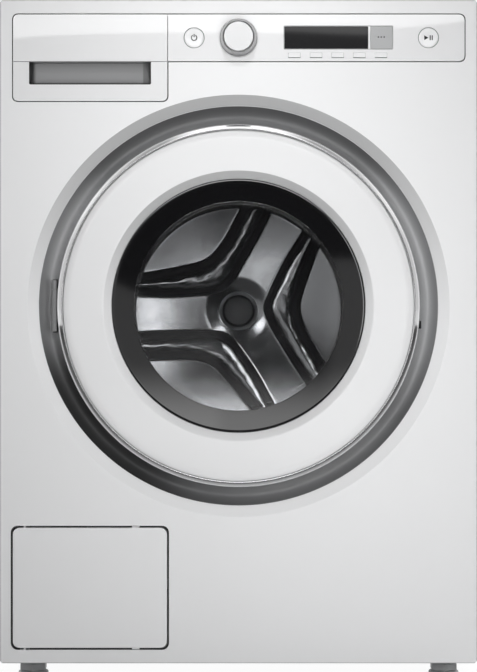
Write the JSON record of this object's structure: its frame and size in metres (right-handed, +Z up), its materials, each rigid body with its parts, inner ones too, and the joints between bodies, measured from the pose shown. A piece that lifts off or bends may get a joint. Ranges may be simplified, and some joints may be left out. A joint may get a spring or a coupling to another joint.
{
  "type": "washing machine",
  "caption": "Free-standing front-loading washing machine: hinged round door, slide-out detergent drawer, programme knob, keys, filter flap, sprung tub with a belt-driven drum, screwed feet.",
  "frame": {"origin": "centre of the footprint on the floor: the bottom centre of the whole machine's box", "axes": "+Z up, the door faces -Y, +X to the right as seen from the front"},
  "size_m": [0.595, 0.6144, 0.85],
  "materials": {
    "white_enamel": "smooth white stove enamel",
    "gloss_white_plastic": "glossy white moulding",
    "grey_key": "satin grey key",
    "dark_grey_plastic": "satin dark grey moulding",
    "dark_painted_steel": "dark painted bracket",
    "chrome_trim": "polished chrome",
    "satin_silver": "satin turned metal",
    "dark_display": "dark glossy display window",
    "window_glass": "clear tinted glass with a dark printed border",
    "stainless_steel": "stainless steel sheet",
    "galvanised_steel": "zinc plated steel",
    "cast_aluminium": "bead blasted casting",
    "cast_iron_weight": "raw casting",
    "grey_rubber": "soft grey rubber",
    "black_rubber": "black rubber",
    "white_plastic": "white moulding",
    "grey_plastic": "grey moulding",
    "circuit_board": "green lacquered board"
  },
  "bodies": {
    "cabinet": {"front_panel": "white_enamel", "cabinet_wrap": "white_enamel", "rear_cover": "galvanised_steel", "top_cover": "white_enamel", "base_pan": "grey_plastic", "door_surround": "dark_grey_plastic", "hinge_bracket": "dark_painted_steel", "door_lock": "grey_plastic", "control_fascia": "gloss_white_plastic", "display_window": "dark_display", "control_board": "circuit_board", "dispenser_housing": "white_plastic", "inlet_valve": "white_plastic", "drain_pump": "grey_plastic", "strut_tube_left_front": "grey_plastic", "strut_tube_right_front": "grey_plastic", "strut_tube_left_rear": "grey_plastic", "strut_tube_right_rear": "grey_plastic"},
    "door": {"chrome_ring": "chrome_trim", "door_panel": "gloss_white_plastic", "door_window": "window_glass", "door_frame": "dark_grey_plastic", "door_bowl": "window_glass", "hinge_arm": "dark_painted_steel", "latch_hook": "galvanised_steel"},
    "drawer": {"drawer_front": "gloss_white_plastic", "drawer_tray": "white_plastic"},
    "knob": {"knob_ring": "satin_silver", "knob_cap": "gloss_white_plastic"},
    "power_key": {"power_button": "gloss_white_plastic"},
    "start_key": {"start_button": "gloss_white_plastic"},
    "extras_key": {"extras_button": "grey_key"},
    "option_key_1": {"option_button_1": "gloss_white_plastic"},
    "option_key_2": {"option_button_2": "gloss_white_plastic"},
    "option_key_3": {"option_button_3": "gloss_white_plastic"},
    "option_key_4": {"option_button_4": "gloss_white_plastic"},
    "option_key_5": {"option_button_5": "gloss_white_plastic"},
    "flap": {"filter_flap": "white_enamel"},
    "filter": {"pump_filter": "dark_grey_plastic"},
    "tub_group": {"tub": "stainless_steel", "counterweight": "cast_iron_weight", "motor": "cast_aluminium", "drive_belt": "black_rubber", "door_gasket": "grey_rubber", "cradle_left": "galvanised_steel", "cradle_right": "galvanised_steel", "heater": "stainless_steel", "sump_hose": "black_rubber"},
    "drum": {"drum_shell": "stainless_steel", "drum_back": "stainless_steel", "drum_spider": "cast_aluminium", "lifter_1": "grey_plastic", "lifter_2": "grey_plastic", "lifter_3": "grey_plastic", "drum_pulley": "cast_aluminium"},
    "motor_rotor": {"motor_pulley": "galvanised_steel"},
    "foot_a": {"foot_left_front": "grey_plastic"},
    "foot_b": {"foot_right_front": "grey_plastic"},
    "foot_c": {"foot_left_rear": "grey_plastic"},
    "foot_d": {"foot_right_rear": "grey_plastic"}
  },
  "joints": [
    {"name": "door_hinge", "type": "hinge", "parent": "cabinet", "child": "door", "pos_m": [-0.2302, -0.28725, 0.4687], "axis": [0, 0, -1], "range_deg": [0, 120]},
    {"name": "drawer_slide", "type": "slide", "parent": "cabinet", "child": "drawer", "axis": [0, -1, 0], "range_m": [0, 0.24]},
    {"name": "knob_turn", "type": "hinge", "parent": "cabinet", "child": "knob", "pos_m": [0, -0.28975, 0.8025], "axis": [0, 1, 0], "continuous": true},
    {"name": "power_press", "type": "slide", "parent": "cabinet", "child": "power_key", "axis": [0, 1, 0], "range_m": [0, 0.0015], "stiffness_N_per_m": 500},
    {"name": "start_press", "type": "slide", "parent": "cabinet", "child": "start_key", "axis": [0, 1, 0], "range_m": [0, 0.0015], "stiffness_N_per_m": 500},
    {"name": "extras_press", "type": "slide", "parent": "cabinet", "child": "extras_key", "axis": [0, 1, 0], "range_m": [0, 0.0015], "stiffness_N_per_m": 500},
    {"name": "option_1_press", "type": "slide", "parent": "cabinet", "child": "option_key_1", "axis": [0, 1, 0], "range_m": [0, 0.0012], "stiffness_N_per_m": 400},
    {"name": "option_2_press", "type": "slide", "parent": "cabinet", "child": "option_key_2", "axis": [0, 1, 0], "range_m": [0, 0.0012], "stiffness_N_per_m": 400},
    {"name": "option_3_press", "type": "slide", "parent": "cabinet", "child": "option_key_3", "axis": [0, 1, 0], "range_m": [0, 0.0012], "stiffness_N_per_m": 400},
    {"name": "option_4_press", "type": "slide", "parent": "cabinet", "child": "option_key_4", "axis": [0, 1, 0], "range_m": [0, 0.0012], "stiffness_N_per_m": 400},
    {"name": "option_5_press", "type": "slide", "parent": "cabinet", "child": "option_key_5", "axis": [0, 1, 0], "range_m": [0, 0.0012], "stiffness_N_per_m": 400},
    {"name": "flap_hinge", "type": "hinge", "parent": "cabinet", "child": "flap", "pos_m": [-0.267, -0.28655, 0.11675], "axis": [0, 0, -1], "range_deg": [0, 105]},
    {"name": "filter_turn", "type": "hinge", "parent": "cabinet", "child": "filter", "pos_m": [-0.15, -0.27775, 0.09], "axis": [0, -1, 0], "range_deg": [0, 270]},
    {"name": "tub_bounce", "type": "slide", "parent": "cabinet", "child": "tub_group", "axis": [0, 0, 1], "range_m": [-0.008, 0.008], "stiffness_N_per_m": 12000, "springref_m": 0.0371, "deforming": ["door_gasket", "sump_hose"]},
    {"name": "drum_spin", "type": "hinge", "parent": "tub_group", "child": "drum", "pos_m": [0, -0.20375, 0.4687], "axis": [0, 1, 0], "continuous": true},
    {"name": "motor_spin", "type": "hinge", "parent": "tub_group", "child": "motor_rotor", "pos_m": [0.11, 0.00025, 0.133], "axis": [0, 1, 0], "continuous": true},
    {"name": "foot_left_front_screw", "type": "slide", "parent": "cabinet", "child": "foot_a", "axis": [0, 0, -1], "range_m": [0, 0.013]},
    {"name": "foot_right_front_screw", "type": "slide", "parent": "cabinet", "child": "foot_b", "axis": [0, 0, -1], "range_m": [0, 0.013]},
    {"name": "foot_left_rear_screw", "type": "slide", "parent": "cabinet", "child": "foot_c", "axis": [0, 0, -1], "range_m": [0, 0.013]},
    {"name": "foot_right_rear_screw", "type": "slide", "parent": "cabinet", "child": "foot_d", "axis": [0, 0, -1], "range_m": [0, 0.013]}
  ],
  "couplings": [
    {"joint": "motor_spin", "follows": "drum_spin", "ratio": 10.923}
  ]
}
